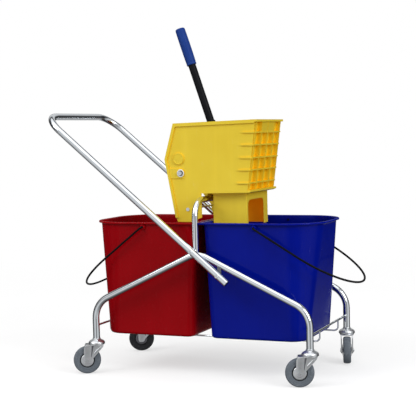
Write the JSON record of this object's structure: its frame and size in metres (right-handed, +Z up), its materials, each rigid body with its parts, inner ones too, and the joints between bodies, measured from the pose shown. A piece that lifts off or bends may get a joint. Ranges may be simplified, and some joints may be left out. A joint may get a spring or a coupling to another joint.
{
  "type": "double bucket mop trolley with wringer",
  "caption": "Tube-framed mop trolley on swivel casters, with a red and a blue bucket, a push handle and a yellow down-press mop wringer.",
  "frame": {"origin": "on the floor, midway between the four legs", "axes": "+X to the front (the blue bucket's end), +Z up, -Y the right side; the push handle is at the -X end"},
  "size_m": [1.1333, 0.5436, 1.2565],
  "materials": {
    "chromed_tube": "polished chrome plate",
    "zinc_steel": "bright zinc plate",
    "hub_plastic": "moulded, satin",
    "grey_rubber": "matt grey rubber",
    "red_plastic": "moulded polypropylene, satin gloss",
    "blue_plastic": "moulded polypropylene, satin gloss",
    "yellow_plastic": "moulded polypropylene, satin gloss",
    "white_plastic": "moulded",
    "black_enamel": "black stove enamel",
    "blue_rubber": "ribbed moulded grip"
  },
  "bodies": {
    "frame": {"side_frame_right": "chromed_tube", "side_frame_left": "chromed_tube", "end_rod_front": "chromed_tube", "end_rod_rear": "chromed_tube", "base_wire_right": "chromed_tube", "base_wire_left": "chromed_tube", "center_hoop": "chromed_tube", "push_handle": "chromed_tube", "handle_tabs": "chromed_tube", "handle_bolts": "zinc_steel", "caster_cup_rear_right": "zinc_steel", "caster_cup_front_right": "zinc_steel", "caster_cup_front_left": "zinc_steel", "caster_cup_rear_left": "zinc_steel"},
    "swivel_rear_right": {"fork_rear_right": "zinc_steel", "axle_rear_right": "zinc_steel", "dust_covers_rear_right": "zinc_steel"},
    "wheel_rear_right": {"wheel_hub_rear_right": "hub_plastic", "tyre_rear_right": "grey_rubber"},
    "swivel_front_right": {"fork_front_right": "zinc_steel", "axle_front_right": "zinc_steel", "dust_covers_front_right": "zinc_steel"},
    "wheel_front_right": {"wheel_hub_front_right": "hub_plastic", "tyre_front_right": "grey_rubber"},
    "swivel_front_left": {"fork_front_left": "zinc_steel", "axle_front_left": "zinc_steel", "dust_covers_front_left": "zinc_steel"},
    "wheel_front_left": {"wheel_hub_front_left": "hub_plastic", "tyre_front_left": "grey_rubber"},
    "swivel_rear_left": {"fork_rear_left": "zinc_steel", "axle_rear_left": "zinc_steel", "dust_covers_rear_left": "zinc_steel"},
    "wheel_rear_left": {"wheel_hub_rear_left": "hub_plastic", "tyre_rear_left": "grey_rubber"},
    "bucket_red": {"bucket_red": "red_plastic"},
    "bucket_blue": {"bucket_blue": "blue_plastic"},
    "bail_red": {"bail_red": "black_enamel"},
    "bail_blue": {"bail_blue": "black_enamel"},
    "wringer": {"wringer_body": "yellow_plastic", "drain_chute": "yellow_plastic", "pivot_bolts": "zinc_steel", "pivot_washers": "white_plastic", "pivot_bushes": "zinc_steel", "foot_rod": "zinc_steel", "return_springs": "zinc_steel"},
    "press_lever": {"press_yoke": "black_enamel", "press_plate": "yellow_plastic", "plate_screws": "zinc_steel", "lever_tube": "black_enamel", "lever_grip": "blue_rubber", "lever_pin": "zinc_steel"}
  },
  "joints": [
    {"name": "caster_swivel_rear_right", "type": "hinge", "parent": "frame", "child": "swivel_rear_right", "pos_m": [-0.408, -0.226, 0.1075], "axis": [0, 0, 1], "continuous": true},
    {"name": "wheel_roll_rear_right", "type": "hinge", "parent": "swivel_rear_right", "child": "wheel_rear_right", "pos_m": [-0.43979, -0.2429, 0.05], "axis": [0.4695, -0.8829, 0], "continuous": true},
    {"name": "caster_swivel_front_right", "type": "hinge", "parent": "frame", "child": "swivel_front_right", "pos_m": [0.408, -0.226, 0.1075], "axis": [0, 0, 1], "continuous": true},
    {"name": "wheel_roll_front_right", "type": "hinge", "parent": "swivel_front_right", "child": "wheel_front_right", "pos_m": [0.37376, -0.23713, 0.05], "axis": [0.309, -0.9511, 0], "continuous": true},
    {"name": "caster_swivel_front_left", "type": "hinge", "parent": "frame", "child": "swivel_front_left", "pos_m": [0.408, 0.226, 0.1075], "axis": [0, 0, 1], "continuous": true},
    {"name": "wheel_roll_front_left", "type": "hinge", "parent": "swivel_front_left", "child": "wheel_front_left", "pos_m": [0.41792, 0.1914, 0.05], "axis": [0.9613, 0.2756, 0], "continuous": true},
    {"name": "caster_swivel_rear_left", "type": "hinge", "parent": "frame", "child": "swivel_rear_left", "pos_m": [-0.408, 0.226, 0.1075], "axis": [0, 0, 1], "continuous": true},
    {"name": "wheel_roll_rear_left", "type": "hinge", "parent": "swivel_rear_left", "child": "wheel_rear_left", "pos_m": [-0.44063, 0.21079, 0.05], "axis": [0.4226, -0.9063, 0], "continuous": true},
    {"name": "wringer_lift", "type": "slide", "parent": "frame", "child": "wringer", "axis": [0, 0, 1], "range_m": [0, 0.8]},
    {"name": "bucket_red_lift", "type": "slide", "parent": "frame", "child": "bucket_red", "axis": [-0.1045, 0, 0.9945], "range_m": [0, 0.4]},
    {"name": "bucket_blue_lift", "type": "slide", "parent": "frame", "child": "bucket_blue", "axis": [0.2588, 0, 0.9659], "range_m": [0, 0.4]},
    {"name": "bail_red_swing", "type": "hinge", "parent": "bucket_red", "child": "bail_red", "pos_m": [-0.226, 0, 0.535], "axis": [0, 1, 0], "range_deg": [-16, 110]},
    {"name": "bail_blue_swing", "type": "hinge", "parent": "bucket_blue", "child": "bail_blue", "pos_m": [0.2, 0, 0.535], "axis": [0, -1, 0], "range_deg": [-20, 75]},
    {"name": "lever_press", "type": "hinge", "parent": "wringer", "child": "press_lever", "pos_m": [-0.094, 0, 0.725], "axis": [0, 1, 0], "range_deg": [0, 46], "stiffness_Nm_per_rad": 6, "springref_deg": -17.19, "deforming": ["return_springs"]}
  ],
  "couplings": [
    {"joint": "bucket_red_lift", "follows": "wringer_lift", "ratio": 0.5},
    {"joint": "bucket_blue_lift", "follows": "wringer_lift", "ratio": 0.5}
  ]
}
